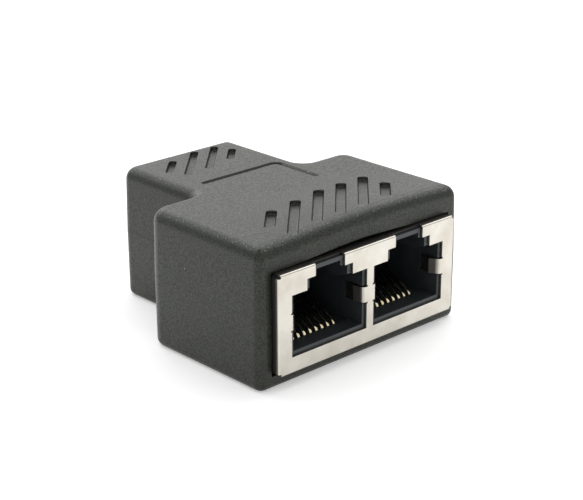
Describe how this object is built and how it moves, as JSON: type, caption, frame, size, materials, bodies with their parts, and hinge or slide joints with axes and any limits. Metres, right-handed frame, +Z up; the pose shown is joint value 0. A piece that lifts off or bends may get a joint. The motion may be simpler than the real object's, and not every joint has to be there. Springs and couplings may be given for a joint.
{
  "type": "ethernet splitter adapter",
  "caption": "T-shaped network cable splitter with shielded modular jacks at both ends, in a matte moulded housing with slanted grip slots.",
  "frame": {"origin": "middle of the part's outline, on the surface that it stands on", "axes": "+X across the paired ports, -Y out of the paired ports, +Y out of the single port, +Z up"},
  "size_m": [0.0352, 0.0388, 0.0191],
  "materials": {
    "housing": "moulded dark grey plastic, fine matte texture",
    "shield": "satin nickel-plated sheet",
    "insulator": "black moulded plastic, slight sheen",
    "contact": "gold-plated wire",
    "board": "green solder mask"
  },
  "bodies": {
    "root": {"upper_shell": "housing", "lower_shell": "housing", "circuit_board": "board", "front_shield": "shield", "front_jack_housing": "insulator", "rear_shield": "shield", "rear_jack_housing": "insulator", "left_contact_carrier": "insulator", "left_port_contact_1": "contact", "left_port_contact_2": "contact", "left_port_contact_3": "contact", "left_port_contact_4": "contact", "left_port_contact_5": "contact", "left_port_contact_6": "contact", "left_port_contact_7": "contact", "left_port_contact_8": "contact", "right_contact_carrier": "insulator", "right_port_contact_1": "contact", "right_port_contact_2": "contact", "right_port_contact_3": "contact", "right_port_contact_4": "contact", "right_port_contact_5": "contact", "right_port_contact_6": "contact", "right_port_contact_7": "contact", "right_port_contact_8": "contact", "rear_contact_carrier": "insulator", "rear_port_contact_1": "contact", "rear_port_contact_2": "contact", "rear_port_contact_3": "contact", "rear_port_contact_4": "contact", "rear_port_contact_5": "contact", "rear_port_contact_6": "contact", "rear_port_contact_7": "contact", "rear_port_contact_8": "contact"}
  },
  "joints": []
}
